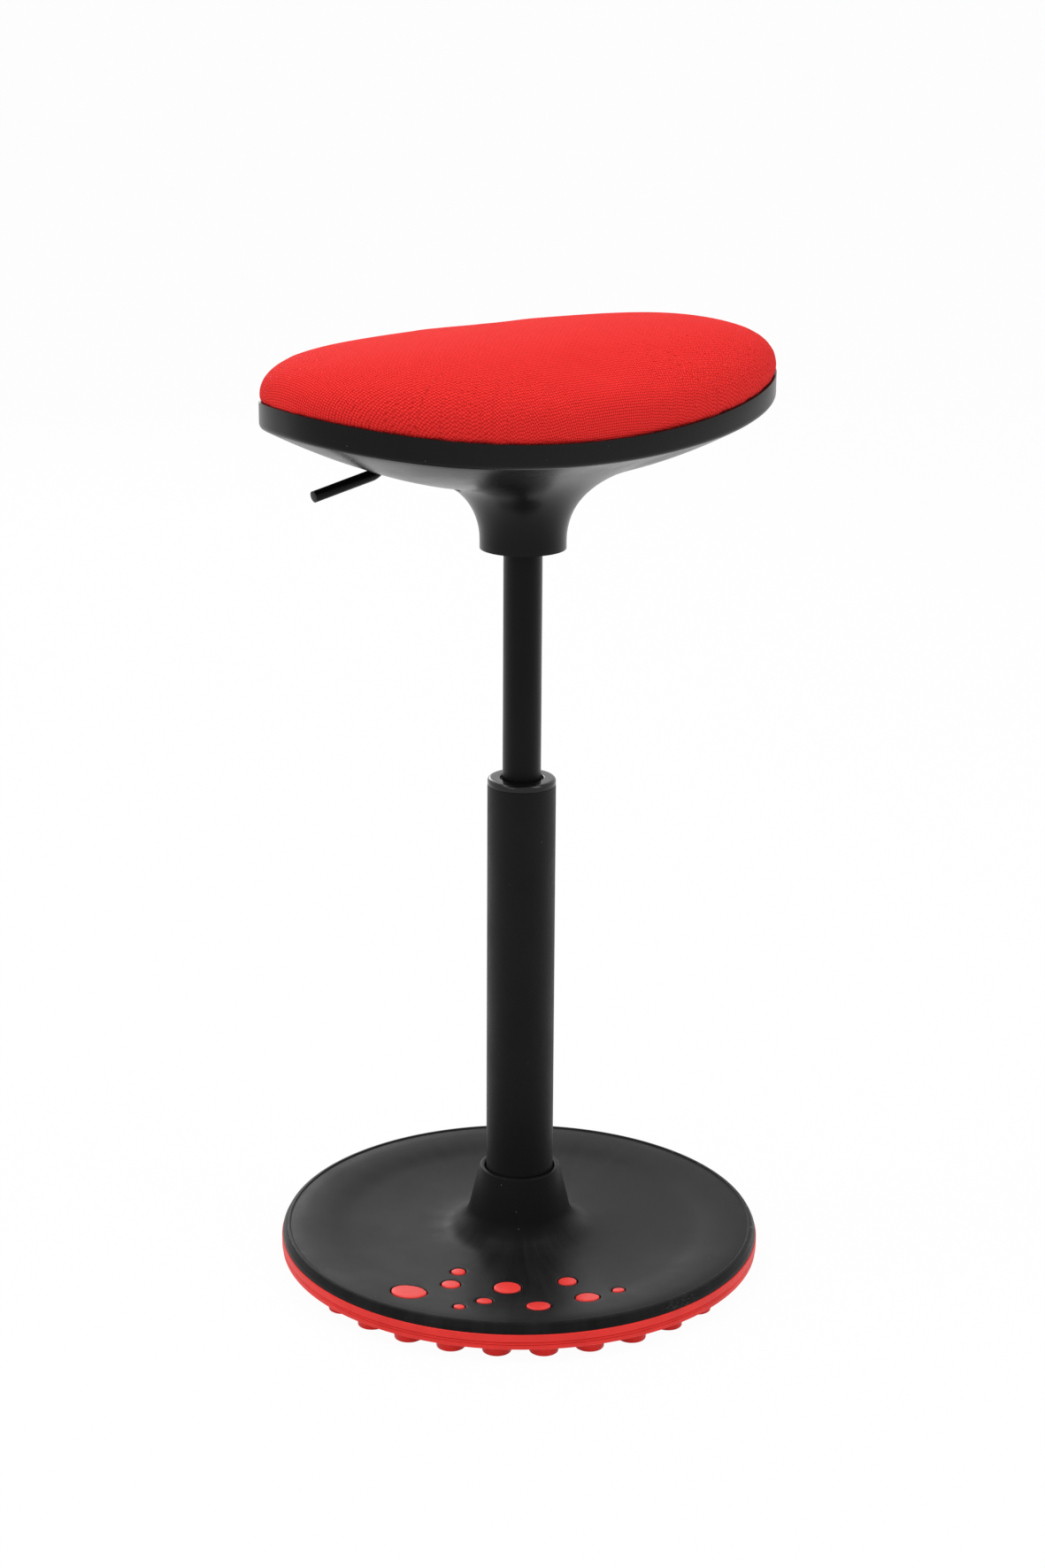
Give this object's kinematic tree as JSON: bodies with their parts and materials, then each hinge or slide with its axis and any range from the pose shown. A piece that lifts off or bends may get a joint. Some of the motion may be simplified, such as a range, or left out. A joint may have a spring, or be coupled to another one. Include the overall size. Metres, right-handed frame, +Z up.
{
  "type": "sit-stand stool",
  "caption": "Height-adjustable perching stool with a padded saddle seat on a gas lift, a release lever under the seat and a round rocking base on rubber studs.",
  "frame": {"origin": "on the floor, on the axis of the gas lift, in the middle of the base", "axes": "+Z up along the gas lift, +X along the seat's width with the lever on the -X side, -Y towards the seat's front"},
  "size_m": [0.4034, 0.3594, 0.7032],
  "materials": {
    "red_rubber": "matt moulded rubber",
    "black_rubber": "matt",
    "steel": "pressed steel",
    "bearing_steel": "ground and bright",
    "zinc_screw": "zinc plated",
    "brass_cage": "plain",
    "aluminium": "turned",
    "base_plastic": "satin moulded",
    "shell_plastic": "fine satin grain",
    "gloss_black_plastic": "glossy",
    "powder_coat": "fine textured powder coat",
    "tube_enamel": "black enamel",
    "lever_enamel": "black enamel",
    "pan_wood": "moulded plywood",
    "foam": "cut polyurethane foam",
    "red_fabric": "coarse basket weave"
  },
  "bodies": {
    "base": {"rubber_mat": "red_rubber", "mat_studs": "red_rubber", "base_plate": "steel", "hub_sleeve": "steel", "base_cover": "base_plastic", "cover_screws": "zinc_screw", "column_tube": "powder_coat", "column_floor": "steel", "guide_bush": "gloss_black_plastic", "lower_race": "bearing_steel"},
    "rod": {"piston_rod": "bearing_steel", "upper_race": "bearing_steel", "bearing_balls": "bearing_steel", "ball_cage": "brass_cage", "bump_stop": "black_rubber", "rod_clip": "steel", "rod_washer": "steel", "piston": "aluminium", "piston_seal": "black_rubber", "piston_nut": "zinc_screw"},
    "seat": {"pressure_tube": "tube_enamel", "rod_guide": "aluminium", "rod_seal": "black_rubber", "valve_body": "brass_cage", "cone_hub": "steel", "carrier_plate": "steel", "plate_bolts": "zinc_screw", "pan_inserts": "zinc_screw", "lever_bracket": "steel", "lever_pivot": "bearing_steel", "seat_shell": "shell_plastic", "shell_screws": "zinc_screw", "seat_pan": "pan_wood", "seat_foam": "foam", "seat_cover": "red_fabric"},
    "lever": {"release_lever": "lever_enamel"},
    "valve": {"release_pin": "bearing_steel"}
  },
  "joints": [
    {"name": "swivel", "type": "hinge", "parent": "base", "child": "rod", "pos_m": [0, 0, 0], "axis": [0, 0, 1], "continuous": true},
    {"name": "lift", "type": "slide", "parent": "rod", "child": "seat", "axis": [0, 0, 1], "range_m": [-0.155, 0.09]},
    {"name": "lever_pull", "type": "hinge", "parent": "seat", "child": "lever", "pos_m": [-0.03, 0, 0.628], "axis": [0, 1, 0], "range_deg": [0, 4], "stiffness_Nm_per_rad": 1.5, "springref_deg": -5.73},
    {"name": "valve_press", "type": "slide", "parent": "seat", "child": "valve", "axis": [0, 0, -1], "range_m": [0, 0.0022]}
  ],
  "couplings": [
    {"joint": "valve_press", "follows": "lever_pull", "m_per_rad": 0.03}
  ]
}
